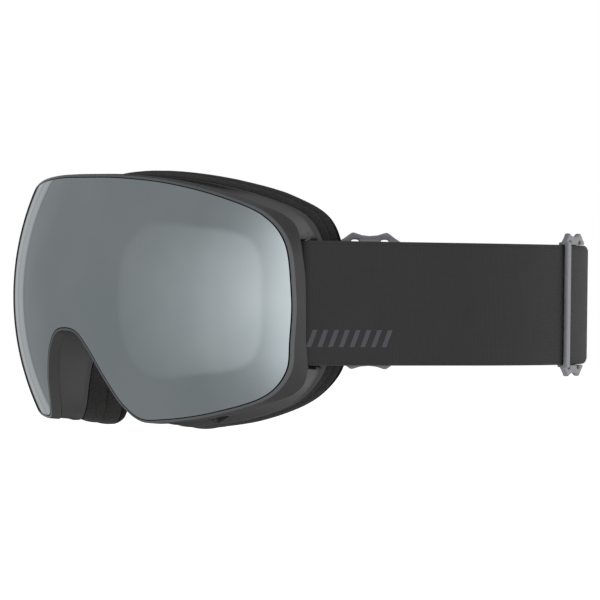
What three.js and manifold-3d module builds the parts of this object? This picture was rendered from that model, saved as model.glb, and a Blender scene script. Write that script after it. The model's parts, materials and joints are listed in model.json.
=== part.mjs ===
// Ski goggles with a spherical lens that pulls off its magnets, a layered face foam and an elastic
// head strap with two sliders. Millimetres. +Z is up, -Y is the way the wearer looks and +X is the
// wearer's left. The origin is where the forehead meets the foam, half way between the eyes, level
// with the middle of the lens.
import * as THREE from "three";
import { ParametricGeometry } from "three/addons/geometries/ParametricGeometry.js";
import { mergeVertices } from "three/addons/utils/BufferGeometryUtils.js";
import Module from "manifold-3d";

const wasm = await Module();
wasm.setup();

// ---- Driving dimensions ----------------------------------------------------------------------

const gap = 0.3; // between pieces that lie against each other
const depth = 47; // from the front of the lens back to the forehead

// The lens, which takes up the same share of its sphere at any width
const lensHalfWidth = 87.3;
const lensRadius = (109 / 87.3) * lensHalfWidth;
const lensTop = 45.1;
const lensBottom = -47.5;
const lensThickness = 1.4;
const airSpace = 2.7; // thickness of the foam gasket between the two lenses
const innerLensThickness = 1;
const carrierWidth = 4.3; // the plastic ring behind the edge of the outer lens
const gasketWidth = 2.6;

// The bezel, which the lens drops into
const lensClearance = 0.4; // round the edge of the lens
const rimWidth = 1; // seen from the front
const bezelDepth = 4.6;
const templeDepth = 7.2; // where it covers the ends of the strap
const shelfDepth = 2.4; // the ledge that the lens unit rests on

// The flexible rear frame and its flange
const faceTop = 46.4;
const faceBottom = -49;
const flangeThickness = 1.8;
const flangeWidth = 9;
const wallThickness = 2;
const browSetback = 37.2; // flange behind the front of the lens, at the forehead
const noseSetback = 26; // and at the nose
const templeSetback = 67.5; // and at the temples
const cheekSetback = 4.4; // how much further back than the temples the cheeks lie
const ventWidth = 9;
const ventPitch = 15;
const topVents = 6;
const bottomVents = 2; // on each side of the nose
const ventFoamThickness = 1.6;

// The face foam, thinnest at the forehead
const glueLine = 0.35; // between the flange and the foam
const foamLayers = [4.2, 3.8, 1.5];
const noseFoamExtra = 1.1; // how much thicker the foam is beside the nose
const foamProud = 2.6; // how far it stands out past the flange, above and below

// The strap
const strapWidth = 47.2;
const strapThickness = 1.5;
const strapCentreZ = -2;
const strapInset = 1.3; // how much narrower the strap's span is than the lens
const strapHalfSpan = lensHalfWidth - strapInset; // from the middle to the strap at the temples
const sideBendRadius = (133 / 86) * strapHalfSpan; // the stretch that the slider travels on
const sideBendAngle = 54;
const straightLength = 76.3; // from the anchor pin to the start of the bend
const wrapSetback = 0.35; // of the strap's turn behind the front of the wall at the temple
const pinRadius = 1.2;
const pinClearance = 0.25;
const gripWidth = 2.5;
const gripThickness = 0.6;
const gripPitch = 14;

// The sliders
const sliderAngle = 32.6; // where they stand on the bend
const sliderHalfWidth = 12.6;
const sliderHalfHeight = 28.5;
const sliderPlate = 2;
const barThickness = 1.6;
const centreBarHalf = 4.4;
const slotWidth = 3.6;
const slotEnd = 1.6; // how far a slot runs past the edge of the strap
const endLoopThickness = 1;

// The magnets, in pairs
const magnetRadius = 1.4;
const magnetThickness = 1.5;
const magnetAt = [4, 13, 21]; // places round half of the outline, counted from the top

// ---- Outlines --------------------------------------------------------------------------------

// Half of the lens, from the top to the nose arch, as shares of its half width and of its height.
const lensShares = [
  [0, 1], [0.245, 0.993], [0.504, 0.942], [0.734, 0.825], [0.88, 0.681], [0.961, 0.466], [1, 0],
  [0.985, -0.347], [0.953, -0.598], [0.871, -0.785], [0.676, -0.926], [0.46, -0.992],
  [0.346, -0.989], [0.289, -0.895], [0.223, -0.667], [0.149, -0.421], [0.08, -0.293], [0, -0.265],
];
// Half of the flange, which is fuller at the cheeks and wider at the nose.
const faceShares = [
  [0, 1], [0.275, 0.982], [0.549, 0.918], [0.774, 0.813], [0.924, 0.671], [0.985, 0.456], [1, 0],
  [0.99, -0.36], [0.96, -0.6], [0.873, -0.79], [0.71, -0.925], [0.5, -0.985],
  [0.365, -0.994], [0.305, -0.898], [0.268, -0.694], [0.218, -0.51], [0.112, -0.398], [0, -0.367],
];
const samplesPerKey = 2;

// Keys in millimetres, each with the direction that points out of the material.
function keysOf(shares, halfWidth, top, bottom) {
  const half = shares.map(([x, z]) => new THREE.Vector2(x * halfWidth, z > 0 ? z * top : -z * bottom));
  const mirrored = half.slice(1, -1).reverse().map((p) => new THREE.Vector2(-p.x, p.y));
  const all = [...half, ...mirrored];
  return all.map((p, i) => {
    const before = all[(i + all.length - 1) % all.length];
    const after = all[(i + 1) % all.length];
    const along = after.clone().sub(before).normalize();
    return { p, out: new THREE.Vector2(-along.y, along.x) };
  });
}

// The outline moved outwards by d, which may depend on the direction, as evenly many points per key.
function outline(keys, d) {
  const moved = keys.map(({ p, out }) => {
    const by = typeof d === "function" ? d(out, p) : d;
    return new THREE.Vector3(p.x + out.x * by, p.y + out.y * by, 0);
  });
  const curve = new THREE.CatmullRomCurve3(moved, true, "centripetal");
  return curve.getPoints(moved.length * samplesPerKey).slice(0, -1);
}

const lensKeys = keysOf(lensShares, lensHalfWidth, lensTop, lensBottom);
const sphereCentre = new THREE.Vector3(0, lensRadius - depth, 0);

// The outline of the lens, carried along the sphere's radii to the radius r.
function sphereLoop(d, r) {
  return outline(lensKeys, d).map(({ x, y: z }) => onSphere(x, z, r));
}

function onSphere(x, z, r) {
  const back = Math.sqrt(lensRadius ** 2 - x ** 2 - z ** 2);
  const direction = new THREE.Vector3(x, -back, z).divideScalar(lensRadius);
  return direction.multiplyScalar(r).add(sphereCentre);
}

// The inner side of the strap's return run beside the temple bounds the flange.
const pinX = strapHalfSpan - strapThickness / 2 - pinClearance - pinRadius;
const wrapRadius = pinRadius + pinClearance + strapThickness / 2;
const returnX = pinX - wrapRadius;
const faceHalfWidth = returnX - strapThickness / 2 - 0.75;
const faceKeys = keysOf(faceShares, faceHalfWidth, faceTop, faceBottom);

// How far back the flange lies, over the forehead, beside the nose and round to the temples.
function faceY(x, z) {
  const up = THREE.MathUtils.smoothstep(z, -0.65 * -faceBottom, 0.9 * faceTop);
  const middle = THREE.MathUtils.lerp(noseSetback, browSetback, up);
  const round = Math.abs(x / (faceHalfWidth + 1)) ** 2.3;
  const low = 1 - THREE.MathUtils.smoothstep(z, 0.7 * faceBottom, 0.5 * faceTop);
  const side = templeSetback + cheekSetback * low;
  return THREE.MathUtils.lerp(middle, side, Math.min(round, 1.1)) - depth;
}

function faceLoop(d, behind) {
  return outline(faceKeys, d).map(({ x, y: z }) => {
    const by = typeof behind === "function" ? behind(x, z) : behind;
    return new THREE.Vector3(x, faceY(x, z) + by, z);
  });
}

// ---- Solids ----------------------------------------------------------------------------------

function toSolid(geometry) {
  const bare = new THREE.BufferGeometry();
  bare.setAttribute("position", geometry.getAttribute("position"));
  if (geometry.index) bare.setIndex(geometry.index);
  const merged = mergeVertices(bare, 1e-4);
  const index = Array.from(merged.index.array);
  const kept = [];
  for (let i = 0; i < index.length; i += 3) {
    const [a, b, c] = index.slice(i, i + 3);
    if (a !== b && b !== c && c !== a) kept.push(a, b, c);
  }
  const made = (triangles) =>
    new wasm.Manifold(
      new wasm.Mesh({
        numProp: 3,
        vertProperties: merged.attributes.position.array,
        triVerts: new Uint32Array(triangles),
      }),
    );
  const solid = made(kept);
  return solid.volume() > 0 ? solid : made(kept.reverse());
}

function toGeometry(solid) {
  const mesh = solid.getMesh();
  const geometry = new THREE.BufferGeometry();
  geometry.setAttribute("position", new THREE.BufferAttribute(mesh.vertProperties, 3));
  geometry.setIndex(new THREE.BufferAttribute(mesh.triVerts, 1));
  geometry.computeVertexNormals();
  return geometry;
}

// A closed band whose section has one corner on each loop, taken in order round the section.
function ring(loops) {
  const around = loops[0].length;
  const at = (u, v, target) => {
    const i = Math.round(u * around) % around;
    const j = Math.round(v * loops.length) % loops.length;
    target.copy(loops[j][i]);
  };
  return toSolid(new ParametricGeometry(at, around, loops.length));
}

// Loops stacked up and closed at both ends with a fan.
function plug(loops) {
  const last = loops.length + 1;
  const around = loops[0].length;
  const middle = (loop) =>
    loop.reduce((sum, p) => sum.add(p), new THREE.Vector3()).divideScalar(around);
  const ends = [middle(loops[0]), middle(loops[last - 2])];
  const at = (u, v, target) => {
    const row = Math.round(v * last);
    if (row === 0 || row === last) target.copy(ends[row / last]);
    else target.copy(loops[row - 1][Math.round(u * around) % around]);
  };
  return toSolid(new ParametricGeometry(at, around, last));
}

// A shell that fills the lens outline between two spheres. The edges are the insets of the rows of
// faces nearest the edge, so that the pieces that lie against the shell share its facets.
function dome(edges, outer, inner) {
  const flat = edges.map((d) => outline(lensKeys, d));
  const innermost = flat[edges.length - 1];
  for (const k of [0.8, 0.55, 0.28, 0]) {
    const height = (p) => THREE.MathUtils.lerp(0.6 * lensTop, p.y, k);
    flat.push(innermost.map((p) => new THREE.Vector3(p.x * Math.sqrt(k), height(p), 0)));
  }
  const inwards = flat.map((points) => [points, outer]);
  const outwards = flat.map((points) => [points, inner]).reverse();
  const rows = [...outwards, ...inwards];
  const around = flat[0].length;
  const at = (u, v, target) => {
    const [points, r] = rows[Math.round(v * (rows.length - 1))];
    const p = points[Math.round(u * around) % around];
    target.copy(onSphere(p.x, p.y, r));
  };
  return toSolid(new ParametricGeometry(at, around, rows.length - 1));
}

// A box from its lowest to its highest corner.
function block(low, high) {
  const size = high.map((h, i) => h - low[i]);
  const geometry = new THREE.BoxGeometry(...size);
  geometry.translate(...low.map((l, i) => l + size[i] / 2));
  return toSolid(geometry);
}

// A flat shape in the XY plane, given its thickness along Z.
function slab(shape, lowZ, highZ) {
  const options = { depth: highZ - lowZ, bevelEnabled: false, curveSegments: 8 };
  return toSolid(new THREE.ExtrudeGeometry(shape, options).translate(0, 0, lowZ));
}

function upright(radius, x, y, lowZ, highZ) {
  const geometry = new THREE.CylinderGeometry(radius, radius, highZ - lowZ, 16);
  return toSolid(geometry.rotateX(Math.PI / 2).translate(x, y, (lowZ + highZ) / 2));
}

const goggles = new THREE.Group();

function add(name, solid, material, parent = goggles) {
  const mesh = new THREE.Mesh(toGeometry(solid), material);
  mesh.name = name;
  parent.add(mesh);
  return mesh;
}

// ---- Materials -------------------------------------------------------------------------------

const finish = (color, roughness, metalness) =>
  new THREE.MeshStandardMaterial({ color, roughness, metalness });
const mirrorLens = finish(0x8d9699, 0.06, 0.9);
const clearLens = finish(0xaab0b2, 0.1, 0);
const frameRubber = finish(0x454644, 0.55, 0);
const rimPlastic = finish(0x3a3c3d, 0.4, 0);
const softFoam = finish(0x2a2a2a, 0.95, 0);
const fleece = finish(0x1c1c1c, 1, 0);
const webbing = finish(0x3b3b3d, 0.85, 0);
const sliderPlastic = finish(0x6c6d72, 0.35, 0);
const steel = finish(0x9a9a9c, 0.3, 1);
const silicone = finish(0x55565a, 0.5, 0);

// ---- Lens unit -------------------------------------------------------------------------------

const outerBack = lensRadius - lensThickness;
const gasketFront = outerBack - gap;
const gasketBack = gasketFront - airSpace;
const innerFront = gasketBack - gap;
const innerBack = innerFront - innerLensThickness;
const carrierEdge = -0.2;
const carrierInside = carrierEdge - carrierWidth;
const gasketEdge = carrierInside - gap;

// A disc magnet lying along the sphere's radius, half way across the carrier.
function magnet(place, side, r, grow = 0) {
  const p = outline(lensKeys, carrierEdge - carrierWidth / 2)[place];
  const outer = onSphere(side * p.x, p.y, r);
  const axis = outer.clone().sub(sphereCentre).normalize();
  const length = magnetThickness + 2 * grow;
  const geometry = new THREE.CylinderGeometry(magnetRadius + grow, magnetRadius + grow, length, 12);
  geometry.applyQuaternion(
    new THREE.Quaternion().setFromUnitVectors(new THREE.Vector3(0, 1, 0), axis),
  );
  const middle = outer.addScaledVector(axis, -magnetThickness / 2);
  return toSolid(geometry.translate(middle.x, middle.y, middle.z));
}

const magnetSpots = magnetAt.flatMap((place, i) => [
  { name: `left_${i + 1}`, place, side: 1 },
  { name: `right_${i + 1}`, place, side: -1 },
]);
const shelfFront = innerBack - gap;
const shelfBack = shelfFront - shelfDepth;
const lensMagnetTop = innerBack + magnetThickness;

function lensUnit() {
  const gasketInside = gasketEdge - gasketWidth;
  const outerEdges = [0, carrierEdge, carrierInside, gasketEdge, gasketInside];
  add("outer_lens", dome(outerEdges, lensRadius, outerBack), mirrorLens);
  add("inner_lens", dome([gasketEdge, gasketInside], innerFront, innerBack), clearLens);
  const gasket = ring([
    sphereLoop(gasketEdge, gasketFront), sphereLoop(gasketEdge, gasketBack),
    sphereLoop(gasketInside, gasketBack), sphereLoop(gasketInside, gasketFront),
  ]);
  add("lens_gasket", gasket, softFoam);
  let carrier = ring([
    sphereLoop(carrierEdge, gasketFront), sphereLoop(carrierEdge, innerBack),
    sphereLoop(carrierInside, innerBack), sphereLoop(carrierInside, gasketFront),
  ]);
  for (const { name, place, side } of magnetSpots) {
    carrier = carrier.subtract(magnet(place, side, lensMagnetTop, gap));
    add(`lens_magnet_${name}`, magnet(place, side, lensMagnetTop), steel);
  }
  add("lens_carrier", carrier, rimPlastic);
}

// ---- Bezel -----------------------------------------------------------------------------------

function bezel() {
  const inside = lensClearance;
  const outside = lensClearance + rimWidth;
  const frontRim = sphereLoop(outside, lensRadius);
  const backAt = (d, atBrow, atTemple) =>
    outline(lensKeys, d).map(({ x, y: z }, i) => {
      const from = Math.abs(x) - d;
      const across = Math.min(1, from / lensHalfWidth) ** 16;
      const reach = THREE.MathUtils.lerp(atBrow, atTemple, across);
      const flare = THREE.MathUtils.smoothstep(from, 0.82 * lensHalfWidth, 0.95 * lensHalfWidth);
      const wide = THREE.MathUtils.lerp(Math.abs(x), lensHalfWidth + d, flare);
      return new THREE.Vector3(Math.sign(x) * wide, frontRim[i].y + reach, z);
    });
  const shelfInside = gasketEdge - 2 * gap;
  let made = ring([
    sphereLoop(inside, lensRadius), frontRim,
    backAt(outside + 0.3, bezelDepth, templeDepth),
    backAt(inside - 0.2, bezelDepth, templeDepth),
    backAt(inside - 0.2, bezelDepth - 1, bezelDepth - 1),
    sphereLoop(inside - 0.2, shelfBack), sphereLoop(shelfInside, shelfBack),
    sphereLoop(shelfInside, shelfFront), sphereLoop(inside, shelfFront),
  ]);
  for (const { name, place, side } of magnetSpots) {
    made = made.subtract(magnet(place, side, shelfFront, gap));
    add(`frame_magnet_${name}`, magnet(place, side, shelfFront - gap / 2), steel);
  }
  add("front_bezel", made, frameRubber);
}

// ---- Rear frame ------------------------------------------------------------------------------

const wallFront = shelfBack - gap;
const templeY = Math.max(...sphereLoop(0, wallFront).map((p) => p.y));
const pinY = templeY + wrapSetback + wrapRadius + strapThickness / 2;
const strapTop = strapCentreZ + strapWidth / 2;
const strapFoot = strapCentreZ - strapWidth / 2;
const bossClearance = 0.6;
const bossHeight = 3;

// A vent slot through the upper or the lower wall, at x.
function vent(x, up) {
  const z = up > 0 ? faceTop : faceBottom;
  const front = onSphere(x, 0.8 * z, wallFront).y + 3.5;
  const back = faceY(x, 0.8 * z) - flangeThickness - 3.5;
  const low = up > 0 ? 0.62 * faceTop : 1.3 * faceBottom;
  const high = up > 0 ? 1.3 * faceTop : 0.62 * faceBottom;
  return block([x - ventWidth / 2, front, low], [x + ventWidth / 2, back, high]);
}

// An arm from the wall out to the end of an anchor pin. It starts inside the wall, and the part that
// would stand in the hollow of the frame or in the foam is cut away with keepClear().
function anchorBoss(side, lowZ) {
  const radius = pinRadius + 1.5;
  const x = side * pinX;
  const inner = side * 0.8 * faceHalfWidth;
  const web = block(
    [Math.min(x, inner), pinY - radius, lowZ],
    [Math.max(x, inner), pinY + radius, lowZ + bossHeight],
  );
  return upright(radius, x, pinY, lowZ, lowZ + bossHeight).add(web);
}

// Everything inside the wall, and everything behind the flange, where the arms may not reach.
function keepClear() {
  const hollow = plug([
    sphereLoop(-wallThickness, wallFront), faceLoop(-1 - wallThickness, -flangeThickness),
  ]);
  const reach = foamProud + 2;
  const back = [faceLoop(-flangeWidth, 0), faceLoop(reach, 0), faceLoop(reach, 40)];
  return hollow.add(plug(back));
}

function rearFrame() {
  let made = ring([
    sphereLoop(0, wallFront), faceLoop(-1, -flangeThickness), faceLoop(0, -flangeThickness),
    faceLoop(0, 0), faceLoop(-flangeWidth, 0), faceLoop(-flangeWidth, -flangeThickness),
    faceLoop(-1 - wallThickness, -flangeThickness), sphereLoop(-wallThickness, wallFront),
  ]);
  const clear = keepClear();
  const firstTop = -((topVents - 1) * ventPitch) / 2;
  for (let i = 0; i < topVents; i++) {
    made = made.subtract(vent(firstTop + i * ventPitch, 1));
  }
  for (const side of [1, -1]) {
    for (let i = 0; i < bottomVents; i++) {
      made = made.subtract(vent(side * (0.48 * faceHalfWidth + i * ventPitch), -1));
    }
    const holeRadius = pinRadius + gap;
    for (const lowZ of [strapTop + bossClearance, strapFoot - bossClearance - bossHeight]) {
      const hole = upright(holeRadius, side * pinX, pinY, lowZ - 1, lowZ + bossHeight + 1);
      made = made.add(anchorBoss(side, lowZ).subtract(clear)).subtract(hole);
    }
  }
  add("rear_frame", made, frameRubber);
}

// Thin open-cell foam behind the vents.
function ventFoam() {
  const front = -wallThickness - 2 * gap;
  const back = front - 1;
  // The loops run the same way round as the frame's, so that faces that lie together are split alike.
  const lining = ring([
    faceLoop(back, -flangeThickness - gap), sphereLoop(front, wallFront - gap),
    sphereLoop(front - ventFoamThickness, wallFront - gap),
    faceLoop(back - ventFoamThickness, -flangeThickness - gap),
  ]);
  const reach = 2 * faceHalfWidth;
  const topHalf = (topVents * ventPitch) / 2 + 3;
  const cheekFrom = 0.48 * faceHalfWidth - ventPitch / 2;
  const cheekTo = cheekFrom + bottomVents * ventPitch - 5;
  const clip = (name, [lowX, highX], [lowZ, highZ]) => {
    const piece = lining.intersect(block([lowX, -reach, lowZ], [highX, reach, highZ]));
    add(name, piece, softFoam);
  };
  const cheekHeights = [2 * faceBottom, 0.5 * faceBottom];
  clip("vent_foam_top", [-topHalf, topHalf], [0.3 * faceTop, 2 * faceTop]);
  clip("vent_foam_cheek_left", [cheekFrom, cheekTo], cheekHeights);
  clip("vent_foam_cheek_right", [-cheekTo, -cheekFrom], cheekHeights);
}

// ---- Face foam -------------------------------------------------------------------------------

// 1 beside the nose and 0 away from it.
function noseWeight(x, z) {
  const { smoothstep } = THREE.MathUtils;
  const away = smoothstep(Math.abs(x), 0.3 * faceHalfWidth, 0.65 * faceHalfWidth);
  const above = smoothstep(z, 0.8 * faceBottom, 0.1 * faceTop);
  return (1 - away) * (1 - above);
}

function faceFoam() {
  const behind = (height) => (x, z) => height * (1 + noseFoamExtra * noseWeight(x, z));
  const proud = (share) => (out) => share * foamProud * out.y ** 2 - 0.4;
  const names = ["face_foam_base", "face_foam_middle", "face_foam_fleece"];
  const outer = [0.25, 0.75, 1, 0.5]; // shares of foamProud, at the start and end of each layer
  const inner = [0, 1.2, 1.6, 0.6]; // how far the inner side stands in from the flange's, there
  let height = glueLine;
  foamLayers.forEach((thickness, i) => {
    const top = height + thickness - gap;
    const loops = [
      faceLoop(proud(outer[i]), behind(height)),
      faceLoop(proud(outer[i + 1]), behind(top)),
      faceLoop(inner[i + 1] - flangeWidth, behind(top)),
      faceLoop(inner[i] - flangeWidth, behind(height)),
    ];
    // Every other layer runs the other way round, so that faces that meet are split alike.
    if (i % 2 === 0) loops.reverse();
    add(names[i], ring(loops), i === 2 ? fleece : softFoam);
    height += thickness;
  });
}

// ---- Strap -----------------------------------------------------------------------------------

const bendY = pinY + straightLength;
const bendX = strapHalfSpan - sideBendRadius; // centre of the left bend, past the middle
const bendEnd = THREE.MathUtils.degToRad(sideBendAngle);
const backRadius = strapHalfSpan - sideBendRadius + sideBendRadius * Math.cos(bendEnd);
const backBend = backRadius / Math.cos(bendEnd);
const backY = bendY + sideBendRadius * Math.sin(bendEnd) - backBend * Math.sin(bendEnd);

function arcPoints(x, y, radius, from, to, steps) {
  return Array.from({ length: steps + 1 }, (_, i) => {
    const angle = THREE.MathUtils.lerp(from, to, i / steps);
    return new THREE.Vector2(x + radius * Math.cos(angle), y + radius * Math.sin(angle));
  });
}

// The left side of the outer run, moved out from the middle of the webbing by d, from the anchor pin
// to the middle of the back.
function outerRun(d) {
  const wrap = arcPoints(pinX, pinY, wrapRadius + d, -Math.PI, 0, 8);
  const bend = arcPoints(bendX, bendY, sideBendRadius + d, 0, bendEnd, 12);
  const back = arcPoints(0, backY, backBend + d, bendEnd, Math.PI / 2, 10);
  return [new THREE.Vector2(returnX - d, pinY + 12), ...wrap, ...bend, ...back.slice(1)];
}

function ribbon(outside, inside) {
  return new THREE.Shape([...outside, ...inside.reverse()]);
}

const mirror = (points) => points.map((p) => new THREE.Vector2(-p.x, p.y)).reverse();

function strapBand() {
  const half = strapThickness / 2;
  const side = (d) => {
    const left = outerRun(d);
    return [...left, ...mirror(left).slice(1)];
  };
  add("strap_band", slab(ribbon(side(half), side(-half)), strapFoot, strapTop), webbing);
}

// The inner run, which comes back from the pin and is sewn round the slider's middle bar.
const innerBarTop = -(strapThickness / 2 + gap + endLoopThickness + gap);
const innerBarBottom = innerBarTop - barThickness;
const underBar = gap + endLoopThickness + 1.5 * gap; // the fold of webbing below the middle bar
const returnRadius = sideBendRadius + innerBarBottom - underBar - strapThickness / 2;

function returnRun(d) {
  const end = THREE.MathUtils.degToRad(sliderAngle + 2);
  const bend = arcPoints(bendX, bendY, returnRadius + d, 0, end, 12);
  return [new THREE.Vector2(returnX + d, pinY + 12 + gap), ...bend];
}

function strapReturns() {
  const half = strapThickness / 2;
  const left = returnRun(half);
  const inner = returnRun(-half);
  add("strap_return_left", slab(ribbon(left, inner), strapFoot, strapTop), webbing);
  const right = ribbon(mirror(returnRun(-half)), mirror(returnRun(half)));
  add("strap_return_right", slab(right, strapFoot, strapTop), webbing);
}

// Three lines of silicone print on the inside of the strap, round the back of the head.
function gripLines() {
  const outer = backBend - strapThickness / 2 - gap;
  const from = bendEnd + THREE.MathUtils.degToRad(3);
  const line = (r) => arcPoints(0, backY, r, from, Math.PI - from, 16);
  [-1, 0, 1].forEach((row, i) => {
    const z = strapCentreZ + row * gripPitch;
    const shape = ribbon(line(outer), line(outer - gripThickness));
    add(`silicone_grip_${i + 1}`, slab(shape, z - gripWidth / 2, z + gripWidth / 2), silicone);
  });
}

function anchorPins() {
  const reach = strapWidth / 2 + bossClearance + bossHeight;
  for (const [side, name] of [[1, "left"], [-1, "right"]]) {
    const pin = upright(pinRadius, side * pinX, pinY, strapCentreZ - reach, strapCentreZ + reach);
    add(`strap_anchor_pin_${name}`, pin, steel);
  }
}

// ---- Sliders ---------------------------------------------------------------------------------

const plateTop = strapThickness / 2 + 0.85;
const sliderFoot = strapWidth / 2 + gap; // where the slider's end plates start

// In the slider's own place X runs along the strap, Y points out of it and Z is up.
function sliderEnd(up) {
  const low = sliderFoot;
  const peak = sliderHalfHeight;
  const slotRound = 0.9;
  const shape = new THREE.Shape();
  const slot = (x) => {
    const [from, to] = [x + slotWidth / 2, x - slotWidth / 2];
    const end = low + slotEnd;
    shape.lineTo(from, low);
    shape.lineTo(from, end - slotRound);
    shape.quadraticCurveTo(from, end, x, end);
    shape.quadraticCurveTo(to, end, to, end - slotRound);
    shape.lineTo(to, low);
  };
  const slotX = centreBarHalf + slotWidth / 2;
  shape.moveTo(-sliderHalfWidth, low);
  shape.quadraticCurveTo(-sliderHalfWidth, low + 1.4, -0.86 * sliderHalfWidth, low + 2);
  shape.lineTo(-0.62 * sliderHalfWidth, peak - 0.3);
  shape.quadraticCurveTo(-0.58 * sliderHalfWidth, peak, -0.52 * sliderHalfWidth, peak - 0.1);
  shape.quadraticCurveTo(0, peak - 2.9, 0.52 * sliderHalfWidth, peak - 0.1);
  shape.quadraticCurveTo(0.58 * sliderHalfWidth, peak, 0.62 * sliderHalfWidth, peak - 0.3);
  shape.lineTo(0.86 * sliderHalfWidth, low + 2);
  shape.quadraticCurveTo(sliderHalfWidth, low + 1.4, sliderHalfWidth, low);
  slot(slotX);
  slot(-slotX);
  shape.closePath();
  const options = { depth: sliderPlate, bevelEnabled: false, curveSegments: 4 };
  const plate = new THREE.ExtrudeGeometry(shape, options);
  plate.rotateX(Math.PI / 2).translate(0, plateTop, 0);
  if (up < 0) plate.rotateY(Math.PI);
  return toSolid(plate);
}

// Two end plates, a bar over the strap, and two bars under it that hang from the plates.
function slider() {
  const barEnd = sliderFoot + 1;
  const outerBarLow = strapThickness / 2 + gap;
  const slotFar = centreBarHalf + slotWidth;
  const bar = ([lowX, highX], lowY, highY) => block([lowX, lowY, -barEnd], [highX, highY, barEnd]);
  let made = sliderEnd(1).add(sliderEnd(-1));
  made = made.add(bar([-sliderHalfWidth, -slotFar], outerBarLow, outerBarLow + barThickness));
  for (const [lowX, highX] of [[-centreBarHalf, centreBarHalf], [slotFar, sliderHalfWidth]]) {
    made = made.add(bar([lowX, highX], innerBarBottom, innerBarTop));
    for (const [lowZ, highZ] of [[sliderFoot, barEnd], [-barEnd, -sliderFoot]]) {
      const high = [highX, plateTop - sliderPlate / 2, highZ];
      made = made.add(block([lowX, innerBarBottom, lowZ], high));
    }
  }
  return made;
}

// The sewn end of the strap, folded round the slider's middle bar.
function endLoop() {
  const outer = endLoopThickness + gap;
  const half = strapWidth / 2 - 1;
  const around = block(
    [-centreBarHalf - outer, innerBarBottom - outer, -half],
    [centreBarHalf + outer, innerBarTop + outer - gap, half],
  );
  const hollow = block(
    [-centreBarHalf - gap, innerBarBottom - gap, -half - 1],
    [centreBarHalf + gap, innerBarTop + gap * 0.8, half + 1],
  );
  return around.subtract(hollow);
}

function sliders() {
  const angle = THREE.MathUtils.degToRad(sliderAngle);
  for (const [side, name] of [[1, "left"], [-1, "right"]]) {
    const place = new THREE.Group();
    place.position.set(
      side * (bendX + sideBendRadius * Math.cos(angle)),
      bendY + sideBendRadius * Math.sin(angle),
      strapCentreZ,
    );
    place.rotation.z = side > 0 ? angle - Math.PI / 2 : Math.PI / 2 - angle;
    goggles.add(place);
    // The right one is the left one turned over, so that its outer bar still leads at the front.
    const turned = (solid) => (side > 0 ? solid.mirror([1, 0, 0]) : solid);
    add(`slider_${name}`, turned(slider()), sliderPlastic, place);
    add(`strap_end_${name}`, turned(endLoop()), webbing, place);
  }
}

lensUnit();
bezel();
rearFrame();
ventFoam();
faceFoam();
strapBand();
strapReturns();
gripLines();
anchorPins();
sliders();

export default goggles;
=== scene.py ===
# %% [markdown]
# # Ski goggles with a spherical mirror lens
#
# This lesson dresses a jointed model of ski goggles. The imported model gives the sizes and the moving
# bodies: the frame, the lens unit that pulls off its magnets, and the two strap sliders. Each step
# makes one piece or one finish, and says what the real one is and why it is made this way.
#
# The wearer looks along -Y, +X is the wearer's left and +Z is up. The origin is on the forehead.

import json
import math

import bpy
import numpy as np
from mathutils import Matrix, Vector

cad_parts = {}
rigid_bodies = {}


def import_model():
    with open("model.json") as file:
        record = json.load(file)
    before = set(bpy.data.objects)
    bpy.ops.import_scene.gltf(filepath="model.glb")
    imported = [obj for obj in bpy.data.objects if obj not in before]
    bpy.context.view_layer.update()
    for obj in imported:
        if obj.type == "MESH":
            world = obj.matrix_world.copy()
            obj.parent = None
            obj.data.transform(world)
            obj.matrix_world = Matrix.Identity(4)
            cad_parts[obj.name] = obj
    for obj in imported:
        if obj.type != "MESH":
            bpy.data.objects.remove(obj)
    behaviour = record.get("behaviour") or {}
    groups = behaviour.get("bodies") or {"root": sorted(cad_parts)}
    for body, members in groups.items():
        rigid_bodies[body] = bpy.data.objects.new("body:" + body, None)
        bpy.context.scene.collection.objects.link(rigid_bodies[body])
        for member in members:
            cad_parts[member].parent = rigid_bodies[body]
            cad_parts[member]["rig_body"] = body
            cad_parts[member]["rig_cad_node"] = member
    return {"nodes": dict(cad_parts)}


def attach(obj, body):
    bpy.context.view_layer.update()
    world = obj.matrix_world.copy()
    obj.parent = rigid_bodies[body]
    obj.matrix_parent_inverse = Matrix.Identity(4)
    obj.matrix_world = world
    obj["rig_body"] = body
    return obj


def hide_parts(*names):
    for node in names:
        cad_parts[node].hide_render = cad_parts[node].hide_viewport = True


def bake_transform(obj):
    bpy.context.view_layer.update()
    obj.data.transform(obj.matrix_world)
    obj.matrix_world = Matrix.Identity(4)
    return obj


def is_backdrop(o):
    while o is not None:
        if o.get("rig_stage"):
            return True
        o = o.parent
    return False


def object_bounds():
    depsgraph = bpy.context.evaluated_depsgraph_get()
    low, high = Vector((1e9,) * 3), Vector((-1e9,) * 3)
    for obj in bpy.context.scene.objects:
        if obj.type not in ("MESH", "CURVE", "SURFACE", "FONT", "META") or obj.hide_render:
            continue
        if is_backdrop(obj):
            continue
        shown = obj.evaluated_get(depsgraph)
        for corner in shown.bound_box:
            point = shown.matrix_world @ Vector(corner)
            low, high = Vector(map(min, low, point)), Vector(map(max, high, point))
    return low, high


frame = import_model()
cad_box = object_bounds()
MM = 0.001
print("CAD box", [[round(x, 4) for x in corner] for corner in cad_box])

# %% [markdown]
# ## Sizes
#
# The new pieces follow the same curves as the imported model, so the same sizes are written down here,
# in millimetres. Only the side of the bezel is shallower at the temples, so that the strap comes out
# from behind it further forward. The lens is a part of a sphere. Its outline and the outline of the
# face flange are each a smooth closed curve through a few keys, given as shares of the half width and
# the height.

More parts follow.
